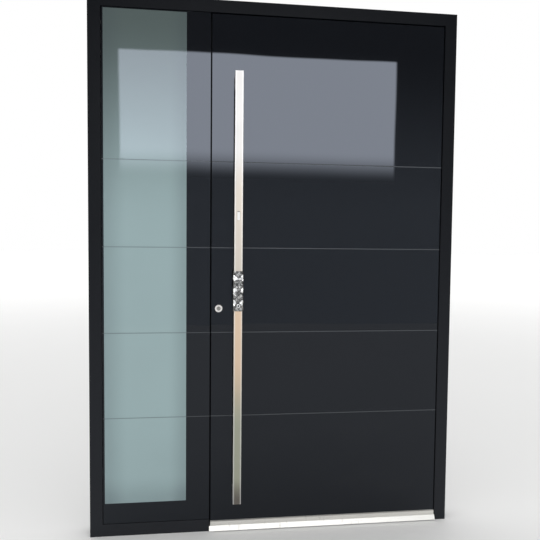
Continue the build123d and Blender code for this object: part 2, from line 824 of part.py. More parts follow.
with BuildPart() as lock_face_plate:
    box(
        plate_face, plate_back, lock_line - plate_half, lock_line + plate_half,
        face_plate_foot, face_plate_top,
    )
    bolt_window(plate_face, plate_back, latch_place, latch_height)
    bolt_window(plate_face, plate_back, bolt_place, bolt_height)
    for z in side_bolt_heights:
        bolt_window(plate_face, plate_back, z, side_bolt_height)
write(lock_face_plate.part, "lock_face_plate")

# Lock cases behind the face plate
case_near = lock_line - case_width / 2
case_far = lock_line + case_width / 2
with BuildPart() as lock_case_main:
    box(case_start, case_end, case_near, case_far, case_foot, case_top)
    bolt_window(case_start, flange_left + bolt_length + bolt_clearance, bolt_place, bolt_height)
    latch_back = flange_left - latch_throw + latch_length
    bolt_window(case_start, latch_back + latch_throw + 2 * bolt_clearance, latch_place, latch_height)
    cylinder_pocket(case_near, case_far)
    square_hole(cylinder_x, cylinder_height, cam_reach + cam_space, case_near, case_far)
    round_hole(cylinder_x, lever_height, follower_radius + running_fit, case_near, case_far)

lock_cases = lock_case_main.part.solids()
for z in side_bolt_heights:
    half = side_case_height / 2
    with BuildPart() as side_case:
        box(case_start, case_start + side_case_reach, case_near, case_far, z - half, z + half)
        bolt_window(case_start, flange_left + bolt_length + bolt_clearance, z, side_bolt_height)
    lock_cases += side_case.part.solids()
write(Compound(children=lock_cases), "lock_cases")


def bolt(z, height):
    """A rectangular bolt with a chamfered nose, drawn back level with the face plate."""
    with BuildPart() as block:
        box(
            plate_face, plate_face + bolt_length, lock_line - bolt_width / 2, lock_line + bolt_width / 2,
            z - height / 2, z + height / 2,
        )
        chamfer(block.faces().sort_by(Axis.X)[0].edges(), edge_round)
    return block


bolts = [bolt(bolt_place, bolt_height)] + [bolt(z, side_bolt_height) for z in side_bolt_heights]
write(Compound(children=[block.part.solid() for block in bolts]), "lock_bolts")

# Latch, its slope facing the outside so that it rides over the keeper when the leaf closes
with BuildPart() as latch_bolt:
    tip = plate_face - latch_throw
    near = depth(lock_line - bolt_width / 2)
    far = depth(lock_line + bolt_width / 2)
    with BuildSketch(Plane.XY.offset(latch_place - latch_height / 2)):
        Polygon(
            (tip, far),
            (tip, far - bolt_width / 4),
            (tip + latch_slope, near),
            (tip + latch_length, near),
            (tip + latch_length, far),
        )
    extrude(amount=latch_height)
write(latch_bolt.part, "latch_bolt")

# Drive rods in the channel behind the face plate, short of the bolts by more than their travel
rod_spans = (
    (
        side_bolt_heights[0] + side_bolt_height / 2 + rod_travel + rod_spare,
        bolt_place - bolt_height / 2 - rod_travel - rod_spare,
    ),
    (
        latch_place + latch_height / 2 + rod_travel + rod_spare,
        side_bolt_heights[1] - side_bolt_height / 2 - rod_travel - rod_spare,
    ),
)
drive_rods = []
for foot, top in rod_spans:
    with BuildPart() as drive_rod:
        box(
            plate_back + running_fit, plate_back + running_fit + rod_depth,
            lock_line - rod_width / 2, lock_line + rod_width / 2, foot, top,
        )
    drive_rods += drive_rod.part.solids()
write(Compound(children=drive_rods), "drive_rods")

# Cylinder: housing with a slot for the cam, and the plug that carries it
plug_front = -cylinder_recess
plug_back = frame_depth + cylinder_inside
cylinder_plane = Plane(
    origin=(cylinder_x, outside, cylinder_height), x_dir=(1, 0, 0), z_dir=(0, 1, 0)
)


def along_depth(distance):
    """The cylinder's section plane this far in from the outside face."""
    return cylinder_plane.offset(distance)


with BuildPart() as cylinder_housing:
    with BuildSketch(along_depth(plug_front)):
        Circle(cylinder_radius)
    extrude(amount=plug_back - plug_front)
    web = cylinder_web / 2
    box(
        cylinder_x - web, cylinder_x + web, leaf_shell_start, plug_back,
        cylinder_height - cylinder_drop, cylinder_height,
    )
    round_hole(cylinder_x, cylinder_height, plug_radius + running_fit, plug_front, plug_back)
    square_hole(
        cylinder_x, cylinder_height, cam_reach + cam_space / 2, lock_line - cam_slot / 2,
        lock_line + cam_slot / 2,
    )
write(cylinder_housing.part, "cylinder_housing")

with BuildPart() as cylinder_plug:
    with BuildSketch(along_depth(plug_front)):
        Circle(plug_radius)
    extrude(amount=plug_back - plug_front)
    with BuildSketch(along_depth(lock_line - cam_width / 2)):
        rectangle(-cam_thickness / 2, cam_thickness / 2, 0, cam_reach - edge_round)
    extrude(amount=cam_width)
    for start, end in ((plug_front, plug_front + keyway_depth), (plug_back - keyway_depth, plug_back)):
        box(
            cylinder_x - keyway_width / 2, cylinder_x + keyway_width / 2, start, end,
            cylinder_height - keyway_height / 2, cylinder_height + keyway_height / 2, Mode.SUBTRACT,
        )
write(cylinder_plug.part, "cylinder_plug")

with BuildPart() as rosette_outer:
    with BuildSketch(along_depth(-rosette_proud)):
        Circle(rosette_radius)
        Circle(rosette_bore, mode=Mode.SUBTRACT)
    extrude(amount=rosette_proud + leaf_shell_start)

with BuildPart() as rosette_inner:
    with BuildSketch(along_depth(frame_depth)):
        Rectangle(rose_side, rose_side)
    extrude(amount=rose_depth)
    chamfer(rosette_inner.faces().sort_by(Axis.Y)[-1].edges(), rose_bevel)
    cylinder_profile(frame_depth, frame_depth + rose_depth, 3 * plate_clearance)
write(Compound(children=[rosette_outer.part.solid(), rosette_inner.part.solid()]), "cylinder_roses")

# Inside lever, its rose, spindle and the follower it turns
with BuildPart() as lever_rose:
    with BuildSketch(along_depth(frame_depth)):
        with Locations((0, -lever_rise)):
            Rectangle(rose_side, rose_side)
    extrude(amount=rose_depth)
    chamfer(lever_rose.faces().sort_by(Axis.Y)[-1].edges(), rose_bevel)
    round_hole(
        cylinder_x, lever_height, lever_neck_radius + 2 * running_fit, frame_depth, frame_depth + rose_depth
    )
write(lever_rose.part, "lever_rose")

neck_start = frame_depth + seal_slack
spindle_end = neck_start + spindle_seat
with BuildPart() as inside_lever:
    box(
        cylinder_x - lever_neck_radius, cylinder_x + lever_length, frame_depth + lever_reach - grip_depth,
        frame_depth + lever_reach, lever_height - grip_height / 2, lever_height + grip_height / 2,
    )
    chamfer(inside_lever.edges(), edge_round)
    with BuildSketch(along_depth(neck_start)):
        with Locations((0, -lever_rise)):
            Circle(lever_neck_radius)
    extrude(amount=lever_reach - seal_slack - grip_depth / 2)
    socket = (spindle_side + plate_clearance) / 2
    box(
        cylinder_x - socket, cylinder_x + socket, neck_start, spindle_end,
        lever_height - socket, lever_height + socket, Mode.SUBTRACT,
    )
write(inside_lever.part, "inside_lever")

spindle_half = spindle_side / 2
with BuildPart() as lever_spindle:
    box(
        cylinder_x - spindle_half, cylinder_x + spindle_half, case_near, spindle_end - running_fit,
        lever_height - spindle_half, lever_height + spindle_half,
    )
write(lever_spindle.part, "lever_spindle")

with BuildPart() as lock_follower:
    with BuildSketch(along_depth(case_near)):
        with Locations((0, -lever_rise)):
            Circle(follower_radius)
            Rectangle(
                spindle_side + plate_clearance, spindle_side + plate_clearance, mode=Mode.SUBTRACT
            )
    extrude(amount=case_width)
write(lock_follower.part, "lock_follower")

# Lift-off hinges: the leaf's bored knuckle stands on the frame's, whose pin is riveted in for good
knuckle = (hinge_length - hinge_slack) / 2
hinge_plate_end = hinge_plate_gap + hinge_plate_width
frame_knuckles = []
leaf_knuckles = []
for z in hinge_heights:
    foot = z - hinge_length / 2
    with BuildPart() as hinge_frame:
        with BuildSketch(Plane.XY.offset(foot)):
            rectangle(hinge_x + hinge_plate_gap, hinge_x + hinge_plate_end, inside, inside + hinge_plate)
            with Locations((hinge_x, hinge_y)):
                Circle(hinge_pin_radius)
        extrude(amount=hinge_length)
        with BuildSketch(Plane.XY.offset(foot)):
            rectangle(hinge_x, hinge_x + hinge_plate_gap, inside, inside + hinge_plate)
            with Locations((hinge_x, hinge_y)):
                Circle(hinge_radius)
        extrude(amount=knuckle)
    frame_knuckles += hinge_frame.part.solids()
    with BuildPart() as hinge_leaf:
        with BuildSketch(Plane.XY.offset(foot)):
            rectangle(hinge_x - hinge_plate_end, hinge_x - hinge_plate_gap, inside, inside + hinge_plate)
        extrude(amount=hinge_length)
        with BuildSketch(Plane.XY.offset(foot + knuckle + hinge_slack)):
            rectangle(hinge_x - hinge_plate_gap, hinge_x, inside, inside + hinge_plate)
            with Locations((hinge_x, hinge_y)):
                Circle(hinge_radius)
                Circle(hinge_pin_radius + running_fit, mode=Mode.SUBTRACT)
        extrude(amount=knuckle)
    leaf_knuckles += hinge_leaf.part.solids()
write(Compound(children=frame_knuckles), "hinge_frame_parts")
write(Compound(children=leaf_knuckles), "hinge_leaf_parts")

# Pull bar: square tube on two legs, closed by end caps
pull_front = -leg_length - pull_depth
pull_left = pull_x - pull_width / 2
pull_right = pull_x + pull_width / 2
pull_middle = (pull_front - leg_length) / 2


def draw_bar(mode=Mode.ADD, inset=0.0):
    """The bar's section, its long edges bevelled."""
    w = pull_width / 2 - inset
    h = pull_depth / 2 - inset
    b = pull_bevel
    Polygon(
        (b - w, -h), (w - b, -h), (w, b - h), (w, h - b), (w - b, h), (b - w, h), (-w, h - b), (-w, b - h),
        mode=mode,
    )


def bar_plane(z):
    """The bar's section plane at this height."""
    return Plane(origin=(pull_x, depth(pull_middle), z), x_dir=(1, 0, 0), z_dir=(0, 0, 1))


with BuildPart() as pull_bar:
    with BuildSketch(bar_plane(pull_foot + cap_plate)):
        draw_bar()
        draw_bar(Mode.SUBTRACT, pull_wall)
    extrude(amount=pull_top - pull_foot - 2 * cap_plate)
    window_plane = Plane(
        origin=(pull_x, depth(pull_front), cylinder_height + window_rise), x_dir=(0, 0, 1), z_dir=(0, 1, 0)
    )
    with BuildSketch(window_plane):
        SlotOverall(window_height + 2 * plate_clearance, window_width + 2 * plate_clearance)
    extrude(amount=pull_wall, mode=Mode.SUBTRACT)
write(pull_bar.part, "pull_bar")

with BuildPart() as pull_bar_window:
    with BuildSketch(window_plane):
        SlotOverall(window_height, window_width)
    extrude(amount=pull_wall)
write(pull_bar_window.part, "pull_bar_window")

end_caps = []
for z in (pull_foot, pull_top - cap_plate):
    with BuildPart() as end_cap:
        with BuildSketch(bar_plane(z)):
            draw_bar()
        extrude(amount=cap_plate)
    end_caps += end_cap.part.solids()
write(Compound(children=end_caps), "pull_bar_end_caps")

legs = []
for z in (pull_foot, pull_top - leg_height):
    with BuildPart() as leg:
        box(pull_left, pull_right, -leg_length, 0, z, z + leg_height)
        chamfer(leg.edges().filter_by(Axis.Y), edge_round)
        round_hole(pull_x, z + leg_height / 2, rod_radius + running_fit, -rod_in_leg, 0)
    legs += leg.part.solids()
write(Compound(children=legs), "pull_bar_legs")

pull_bolts = []
for x, z in rods:
    with BuildPart() as pull_bolt:
        with BuildSketch(Plane(origin=(x, depth(-rod_in_leg), z), x_dir=(1, 0, 0), z_dir=(0, 1, 0))):
            Circle(rod_radius)
        extrude(amount=rod_in_leg + frame_depth)
        with BuildSketch(Plane(origin=(x, inside, z), x_dir=(1, 0, 0), z_dir=(0, 1, 0))):
            Circle(rod_cap_radius)
        extrude(amount=rod_cap_depth)
    pull_bolts += pull_bolt.part.solids()
write(Compound(children=pull_bolts), "pull_bar_bolts")

# Protective film still wrapped round the bar
with BuildPart() as grip_film:
    with BuildSketch(bar_plane(film_foot)):
        draw_bar(Mode.ADD, -film_slack - film_thickness)
        draw_bar(Mode.SUBTRACT, -film_slack)
    extrude(amount=film_height)
write(grip_film.part, "grip_film")
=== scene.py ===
import bmesh
import bpy
import math
from mathutils import Matrix, Vector


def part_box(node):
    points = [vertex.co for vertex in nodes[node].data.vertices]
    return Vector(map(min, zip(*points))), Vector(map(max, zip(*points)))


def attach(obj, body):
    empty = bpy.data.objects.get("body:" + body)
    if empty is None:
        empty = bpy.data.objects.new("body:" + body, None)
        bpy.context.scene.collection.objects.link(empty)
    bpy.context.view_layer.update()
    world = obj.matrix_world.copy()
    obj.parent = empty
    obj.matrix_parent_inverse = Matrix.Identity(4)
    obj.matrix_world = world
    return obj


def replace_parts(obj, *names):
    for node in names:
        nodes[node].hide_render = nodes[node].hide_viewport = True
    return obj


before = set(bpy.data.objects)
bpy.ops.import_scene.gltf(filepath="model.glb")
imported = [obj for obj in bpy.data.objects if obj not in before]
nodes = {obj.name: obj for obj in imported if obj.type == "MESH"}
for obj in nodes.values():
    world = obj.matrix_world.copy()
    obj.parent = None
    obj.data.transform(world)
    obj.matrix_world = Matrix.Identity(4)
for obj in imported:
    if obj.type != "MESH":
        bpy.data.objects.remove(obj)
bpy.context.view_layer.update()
bpy.ops.object.select_all(action="DESELECT")

# Frame and leaf shells: hollow aluminium extrusions in a satin black powder coat, mitred and
# crimped at the corners. The coat has a fine orange-peel skin, specks of building dust near the
# foot, a hairline at each mitre, and painted shade: darker at the head, greyer towards the foot.


class Field:
    """One socket in a node tree. Sums and products written with it add their own Math nodes."""

    def __init__(self, builder, socket):
        self.builder = builder
        self.socket = socket

    def maths(self, operation, *values):
        return self.builder.add("ShaderNodeMath", {"operation": operation}, dict(enumerate(values)))

    def __add__(self, other):
        return self.maths("ADD", self, other)

    def __radd__(self, other):
        return self.maths("ADD", other, self)

    def __sub__(self, other):
        return self.maths("SUBTRACT", self, other)

    def __rsub__(self, other):
        return self.maths("SUBTRACT", other, self)

    def __mul__(self, other):
        return self.maths("MULTIPLY", self, other)

    def __rmul__(self, other):
        return self.maths("MULTIPLY", other, self)

    def __pow__(self, other):
        return self.maths("POWER", self, other)

    def __abs__(self):
        return self.maths("ABSOLUTE", self)

    def sine(self):
        return self.maths("SINE", self)

    def lesser(self, other):
        return self.maths("MINIMUM", self, other)

    def greater(self, other):
        return self.maths("MAXIMUM", self, other)


class Builder:
    """Builds up one node tree."""

    def __init__(self, tree):
        self.tree = tree

    def add(self, kind, settings=None, sockets=None, output=0):
        """Add a node of this type: its settings first, then the values or links of its sockets."""
        node = self.tree.nodes.new(kind)
        for name, value in (settings or {}).items():
            setattr(node, name, value)
        for key, value in (sockets or {}).items():
            if isinstance(value, Field):
                self.tree.links.new(value.socket, node.inputs[key])
            else:
                node.inputs[key].default_value = value
        return Field(self, node.outputs[output])


class Finish(Builder):
    """The finish of one kind of surface, on its Principled shader."""

    def __init__(self, name, **constants):
        self.material = bpy.data.materials.new(name)
        self.material.use_nodes = True
        super().__init__(self.material.node_tree)
        self.shader = self.tree.nodes["Principled BSDF"]
        for socket, value in constants.items():
            self.shader.inputs[socket.replace("_", " ")].default_value = value
        self.place = self.add("ShaderNodeTexCoord", output="Object")
        self.x, self.y, self.z = (
            self.add("ShaderNodeSeparateXYZ", sockets={0: self.place}, output=axis) for axis in range(3)
        )

    def noise(self, scale, detail=2.0, stretch=(1, 1, 1)):
        """Cloudy noise from 0 to 1, at so many waves a metre."""
        spot = self.add("ShaderNodeVectorMath", {"operation": "MULTIPLY"}, {0: self.place, 1: stretch})
        return self.add("ShaderNodeTexNoise", None, {"Vector": spot, "Scale": scale, "Detail": detail})

    def cells(self, scale, feature="F1", stretch=(1, 1, 1)):
        """Distance from the middles or the borders of cells, at so many cells a metre."""
        spot = self.add("ShaderNodeVectorMath", {"operation": "MULTIPLY"}, {0: self.place, 1: stretch})
        return self.add(
            "ShaderNodeTexVoronoi", {"feature": feature}, {"Vector": spot, "Scale": scale}, "Distance"
        )

    def fade(self, value, start, end, low=0.0, high=1.0):
        """Low up to start, high from end on, and a smooth step between them."""
        return self.add(
            "ShaderNodeMapRange", {"interpolation_type": "SMOOTHSTEP"},
            {0: value, 1: start, 2: end, 3: low, 4: high},
        )

    def blend(self, share, first, second):
        """The first colour where share is 0, the second where it is 1."""
        first, second = (c if isinstance(c, Field) else (*c, 1.0) for c in (first, second))
        return self.add("ShaderNodeMix", {"data_type": "RGBA"}, {0: share, 6: first, 7: second}, 2)

    def set(self, **values):
        """Set or link the shader's own sockets."""
        for name, value in values.items():
            socket = self.shader.inputs[name.replace("_", " ")]
            if isinstance(value, Field):
                self.tree.links.new(value.socket, socket)
            else:
                socket.default_value = (*value, 1.0) if isinstance(value, tuple) else value

    def relief(self, height, depth, strength=1.0):
        """Raise the surface by this height field, depth metres from its 0 to its 1."""
        normal = self.add(
            "ShaderNodeBump", None, {"Strength": strength, "Distance": depth, "Height": height}
        )
        self.tree.links.new(normal.socket, self.shader.inputs["Normal"])

    def cover(self, *names):
        """Put the finish on these CAD nodes."""
        for name in names:
            nodes[name].data.materials.clear()
            nodes[name].data.materials.append(self.material)


outer_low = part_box("jamb_left_outer_shell")[0]
top_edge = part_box("head_outer_shell")[1].z
outer_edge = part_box("jamb_right_outer_shell")[1].x

dust_top = 0.35
# Painted shade: the coat is darkest at the head and lightens evenly towards the foot between these
# heights.
painted_shade_top, painted_shade_foot = 2.1, 0.2

coat = Finish("powder_coat", Specular_IOR_Level=0.06)
dust = coat.fade(coat.z, dust_top, 0.0) * coat.fade(coat.noise(420, 5), 0.50, 0.78)
mitre_gap = abs(abs(coat.x) - outer_edge + top_edge - coat.z)
mitre = coat.fade(mitre_gap, 0.0005, 0.0002)
bare_tone = coat.blend(coat.noise(4, 3), (0.0036, 0.0046, 0.0066), (0.0060, 0.0070, 0.0092))
painted_shade_tone = coat.blend(coat.fade(coat.z, painted_shade_top, painted_shade_foot), bare_tone, (0.0218, 0.0236, 0.0278))
dusty_tone = coat.blend(0.14 * dust, painted_shade_tone, (0.20, 0.195, 0.19))
coat.set(
    Base_Color=coat.blend(mitre, dusty_tone, (0.001, 0.001, 0.001)),
    Roughness=0.30 + 0.10 * coat.noise(28, 4) + 0.30 * dust,
)
coat.relief(coat.noise(1300, 2) - 0.6 * mitre, 0.00006)
coat.cover(
    "head_inner_shell", "head_outer_shell", "jamb_left_inner_shell", "jamb_left_outer_shell",
    "jamb_right_inner_shell", "jamb_right_outer_shell", "sill_inner_shell", "sill_outer_shell",
    "mullion_inner_shell", "mullion_outer_shell", "glazing_beads", "stile_lock_inner_shell",
    "stile_hinge_inner_shell", "rail_top_inner_shell", "rail_bottom_inner_shell", "leaf_outer_shells",
    "leaf_inner_sheet", "threshold_outer",
)

# Insulating bars, threshold block and setting blocks: glass-filled polyamide, extruded black.
# Short fibres show as fine streaks along the bar, and the surface is dull.
fibre = Finish("fibre_plastic", IOR=1.53)
streaks = fibre.noise(900, 3, (1, 1, 0.03)) * fibre.noise(700, 2, (0.05, 1, 1))
fibre.set(
    Base_Color=fibre.blend(streaks, (0.012, 0.012, 0.013), (0.05, 0.05, 0.052)),
    Roughness=0.52 + 0.2 * fibre.noise(300),
)
fibre.relief(streaks, 0.00005)
fibre.cover("frame_insulating_bars", "leaf_insulating_bars", "threshold_insulator", "setting_blocks")

# Inner threshold: a hollow bar of natural anodised aluminium, with drawing lines along it and
# the rubbed look of something that is stepped on.
sill_metal = Finish("anodised_aluminium", Metallic=1.0)
drawn = sill_metal.noise(1800, 3, (0.01, 1, 1))
rubbed = sill_metal.noise(14, 5)
sill_metal.set(
    Base_Color=sill_metal.blend(rubbed, (0.52, 0.52, 0.53), (0.66, 0.66, 0.67)),
    Roughness=0.30 + 0.12 * drawn + 0.14 * rubbed,
)
sill_metal.relief(drawn, 0.00002)
sill_metal.cover("threshold_inner")

# Sidelight's outer pane: toughened glass, acid-etched behind so that it is pale and milky, with
# a black enamel border that hides the frame and the mullion. Four fine lines are left clear
# across it. The outer surface is polished.
field_left = outer_low.x + 0.0618
field_right = outer_low.x + 0.3983
field_foot = 0.1417
field_top = 2.1911
line_foot = 0.505
line_pitch = 0.36
line_half = 0.0017
etch_soft = 0.0006


def etched_lines(finish):
    """1 on the four level lines that run across both panes."""
    total = 0.0
    for step in range(4):
        away = abs(finish.z - (line_foot + step * line_pitch))
        total = total + finish.fade(away, line_half + etch_soft, line_half)
    return total


cool_gloss = (0.80, 0.87, 1.0, 1.0)
milky = Finish("etched_glass", Specular_IOR_Level=0.42, Specular_Tint=cool_gloss)
inside_field = (
    milky.fade(milky.x, field_left - etch_soft, field_left)
    * milky.fade(milky.x, field_right + etch_soft, field_right)
    * milky.fade(milky.z, field_foot - etch_soft, field_foot)
    * milky.fade(milky.z, field_top + etch_soft, field_top)
)
cloud = milky.noise(2.2, 3)
etch = milky.blend(cloud, (0.315, 0.420, 0.430), (0.365, 0.490, 0.500))
# Painted shade: the field darkens towards its top, and towards the frame along both sides and its foot.
shaded = milky.fade(milky.z, 1.25, 2.20)
edge_shade = (
    milky.fade(milky.x, field_left + 0.10, field_left)
    + milky.fade(milky.x, field_right - 0.08, field_right)
    + milky.fade(milky.z, field_foot + 0.12, field_foot)
)
etch = milky.blend(0.85 * shaded, etch, (0.048, 0.060, 0.054))
etch = milky.blend(0.25 * edge_shade, etch, (0.06, 0.075, 0.085))
lines = etched_lines(milky)
pale = milky.blend(0.55 * lines, etch, (0.09, 0.11, 0.115))
border = milky.blend(lines, (0.0030, 0.0034, 0.0044), (0.045, 0.048, 0.05))
milky.set(
    Base_Color=milky.blend(inside_field, border, pale),
    Roughness=0.010 + 0.30 * lines + 0.008 * milky.noise(6, 3),
)
milky.relief(milky.noise(2.5, 1), 0.0006)
milky.cover("sidelight_outer_pane")

# Middle and inner panes: clear float glass, faintly green, with a slight roll wave.
clear = Finish("float_glass", IOR=1.5, Transmission_Weight=1.0)
clear.set(
    Base_Color=clear.blend(clear.noise(1.5), (0.86, 0.93, 0.90), (0.90, 0.95, 0.93)),
    Roughness=0.006 * clear.noise(5, 4),
)
clear.relief(clear.noise(3, 1), 0.0002)
clear.cover("sidelight_middle_pane", "sidelight_inner_pane")

# Edge spacers: a black composite bar between the panes, sealed with black silicone. Rows of
# pin holes on its inner face let the drying agent work.
spacer_bar = Finish("spacer_bar", IOR=1.45)
# The pin holes are painted near-black: painted shade inside them.
pin_holes = spacer_bar.fade(spacer_bar.cells(260), 0.34, 0.26)
spacer_bar.set(
    Base_Color=spacer_bar.blend(pin_holes, (0.035, 0.036, 0.038), (0.004, 0.004, 0.004)),
    Roughness=0.50 + 0.2 * spacer_bar.noise(90, 4),
)
spacer_bar.relief(1 - pin_holes, 0.0003)
spacer_bar.cover("sidelight_spacers")

# Gaskets, leaf seals and bonding tape: black rubber, extruded, with fine ribs along its length
# and a slight grey bloom.
rubber = Finish("extruded_rubber", IOR=1.5)
bloom = rubber.noise(18, 6)
rubber.set(
    Base_Color=rubber.blend(bloom, (0.011, 0.011, 0.011), (0.026, 0.026, 0.027)),
    Roughness=0.62 + 0.22 * bloom,
)
rubber.relief(rubber.noise(1500, 2, (1, 1, 0.02)), 0.00008)
rubber.cover("glazing_gaskets", "leaf_seals", "sidelight_bond_tape", "leaf_bond_tape")

# Leaf core: a slab of rigid foam, sawn to size, its cut cells showing.
foam = Finish("rigid_foam", IOR=1.4)
cut_cells = foam.cells(420)
foam.set(
    Base_Color=foam.blend(cut_cells, (0.60, 0.55, 0.38), (0.80, 0.75, 0.58)),
    Roughness=0.80 + 0.15 * foam.noise(60),
)
foam.relief(cut_cells, 0.0006)
foam.cover("leaf_core")

# Leaf's outer pane: a full sheet of toughened black enamelled glass, bonded to the leaf, with
# ground edges. Four fine matt lines carry on from the sidelight. A film of building dust and a
# few wiped smears lie near its foot.
night = Finish("black_glass", Specular_IOR_Level=0.42, Specular_Tint=cool_gloss)
matt = etched_lines(night)
smear = night.fade(night.noise(3.5, 6, (0.5, 1, 1.6)), 0.50, 0.80) * night.fade(night.z, 0.75, 0.05)
specks = night.fade(night.cells(95), 0.085, 0.05) * night.fade(night.noise(3, 3), 0.50, 0.70)
grime = 0.35 * smear + 0.5 * specks
grimy = night.blend(0.05 * grime, (0.0020, 0.0024, 0.0034), (0.5, 0.5, 0.48))
night.set(
    Base_Color=night.blend(matt, grimy, (0.052, 0.056, 0.058)),
    Roughness=0.008 + 0.5 * matt + 0.06 * grime,
)
night.relief(night.noise(1.8, 1) - 0.02 * matt, 0.0008)
night.cover("leaf_outer_pane")

# Weather strip and threshold nose: folded stainless sheet, brushed lengthwise and screwed on from
# behind. Drip marks and plaster dust dull them.
strip_steel = Finish("brushed_strip", Metallic=1.0)
long_brush = strip_steel.noise(2600, 3, (0.006, 1, 1))
drips = strip_steel.fade(strip_steel.noise(60, 4, (1, 0.1, 0.3)), 0.58, 0.75)
strip_steel.set(
    Base_Color=strip_steel.blend(0.4 * drips, (0.84, 0.82, 0.77), (0.56, 0.54, 0.50)),
    Roughness=0.40 + 0.12 * long_brush + 0.14 * drips,
)
strip_steel.relief(long_brush, 0.00003)
strip_steel.cover("weather_strip", "threshold_nose")

# Lock: steel face plate, cases, bolts, latch, rods, follower and spindle, all zinc plated and
# satin, with the soft spangle and scuffs of plated parts.
plated = Finish("plated_steel", Metallic=1.0)
spangle = plated.cells(240)
scuffs = plated.fade(plated.noise(420, 4, (1, 1, 0.05)), 0.60, 0.72)
plated.set(
    Base_Color=plated.blend(spangle, (0.46, 0.465, 0.47), (0.58, 0.58, 0.575)),
    Roughness=0.27 + 0.12 * spangle + 0.2 * scuffs,
)
plated.relief(spangle - 0.5 * scuffs, 0.00003)
plated.cover(
    "lock_face_plate", "lock_cases", "lock_bolts", "latch_bolt", "drive_rods", "lock_follower",
    "lever_spindle", "keeper_main", "keepers_side", "keeper_jaw", "pull_bar_bolts",
)

# Cylinder: nickel-plated brass housing and plug, turned, with fine rings on their faces.
nickel = Finish("nickel_plate", Metallic=1.0)
cylinder_low, cylinder_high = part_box("cylinder_plug")
cylinder_x = (cylinder_low.x + cylinder_high.x) / 2
roses_low, roses_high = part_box("cylinder_roses")
cylinder_z = (roses_low.z + roses_high.z) / 2
from_axis = ((nickel.x - cylinder_x) ** 2 + (nickel.z - cylinder_z) ** 2) ** 0.5
rings = (9000 * from_axis).sine() * 0.5 + 0.5
nickel.set(
    Base_Color=nickel.blend(nickel.noise(160, 3), (0.24, 0.23, 0.21), (0.38, 0.37, 0.34)),
    Roughness=0.16 + 0.08 * rings + 0.1 * nickel.noise(900, 2),
)
nickel.relief(rings, 0.00002)
nickel.cover("cylinder_housing", "cylinder_plug")

# Roses: turned and satin-polished stainless steel. The outer one is a plain thick ring, which
# stands on a thin black washer that also stands in for the shadow round its foot; the inner ones are
# square plates with a bevelled edge.
satin = Finish("satin_steel", Metallic=1.0)
satin_axis = ((satin.x - cylinder_x) ** 2 + (satin.z - cylinder_z) ** 2) ** 0.5
lathe = (7000 * satin_axis).sine() * 0.5 + 0.5
satin.set(
    Base_Color=satin.blend(satin.noise(35, 3), (0.66, 0.63, 0.60), (0.75, 0.72, 0.69)),
    Roughness=0.36 + 0.07 * lathe + 0.08 * satin.noise(700, 2),
)
satin.relief(lathe, 0.00002)
satin.cover("cylinder_roses", "lever_rose")

glass_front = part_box("leaf_outer_pane")[0].y
shadow_washer_width = 0.0014
shadow_washer_proud = 0.0006
shadow_washer_play = 0.00005
rose_radius = 0.0155


def pick(piece, test, kind="faces"):
    """In edit mode, select only the faces, edges or vertices that pass the test."""
    bpy.ops.mesh.select_mode(type={"faces": "FACE", "edges": "EDGE", "verts": "VERT"}[kind])
    mesh = bmesh.from_edit_mesh(piece.data)
    for part in (*mesh.verts, *mesh.edges, *mesh.faces):
        part.select = False
    for part in getattr(mesh, kind):
        if test(part):
            part.select_set(True)
    mesh.select_flush_mode()
    bmesh.update_edit_mesh(piece.data)


def settle(name, body, finish, sharp=35.0):
    """Finish the active piece: place applied, edges smoothed, coloured, and riding on its body."""
    piece = bpy.context.object
    piece.name = name
    bpy.ops.object.select_all(action="DESELECT")
    piece.select_set(True)
    bpy.ops.object.transform_apply(location=True, rotation=True, scale=True)
    bpy.ops.object.shade_smooth_by_angle(angle=math.radians(sharp))
    piece.data.materials.clear()
    piece.data.materials.append(finish.material)
    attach(piece, body)
    piece.select_set(False)
    return piece


# The black washer under the outer rose: a real part that also stands in for the shadow round the rose's
# foot.
bpy.ops.mesh.primitive_circle_add(
    vertices=72, radius=rose_radius + shadow_washer_play, location=(cylinder_x, glass_front, cylinder_z),
    rotation=(math.pi / 2, 0, 0),
)
shadow_washer = bpy.context.object
outer_share = (rose_radius + shadow_washer_width) / rose_radius
bpy.ops.object.mode_set(mode="EDIT")
bpy.ops.mesh.extrude_region_move()
bpy.ops.transform.resize(
    value=(outer_share, 1, outer_share), center_override=(cylinder_x, glass_front, cylinder_z)
)
bpy.ops.object.mode_set(mode="OBJECT")
thick = shadow_washer.modifiers.new("thick", "SOLIDIFY")
thick.thickness = shadow_washer_proud
thick.offset = 1
bpy.ops.object.modifier_apply(modifier="thick")
settle("rose_shadow_washer", "leaf", rubber)

# Screws: countersunk steel, with a six-lobed recess. One is modelled and copied to the hinges,
# the face plate and the keepers, its head a hair above the plate that it holds.
screw_radius = 0.0042
screw_proud = 0.0004
screw_body = 0.0016
recess_depth = 0.0009
bpy.ops.mesh.primitive_cylinder_add(
    vertices=24, radius=screw_radius, depth=screw_body, location=(0, 0, screw_proud - screw_body / 2)
)
screw = bpy.context.object
bpy.ops.object.mode_set(mode="EDIT")
pick(screw, lambda face: face.normal.z > 0.9)
bpy.ops.mesh.inset(thickness=screw_radius * 0.12)
bpy.ops.mesh.inset(thickness=screw_radius * 0.36)
pick(
    screw,
    lambda vert: 0 < vert.co.xy.length < screw_radius * 0.56
    and round(math.degrees(math.atan2(vert.co.y, vert.co.x)) / 15) % 4 == 0,
    "verts",
)
bpy.ops.transform.resize(value=(0.68, 0.68, 1), center_override=(0, 0, 0))
pick(screw, lambda face: face.normal.z > 0.9 and len(face.verts) == 24)
bpy.ops.mesh.extrude_region_move(TRANSFORM_OT_translate={"value": (0, 0, -recess_depth)})
pick(screw, lambda vert: vert.co.z > 0 and vert.co.xy.length > screw_radius * 0.95, "verts")
bpy.ops.transform.translate(value=(0, 0, -screw_proud * 0.6))
bpy.ops.object.mode_set(mode="OBJECT")
bpy.ops.object.transform_apply(location=True, rotation=True, scale=True)
screw_pattern = screw.data.copy()
bpy.data.objects.remove(screw)

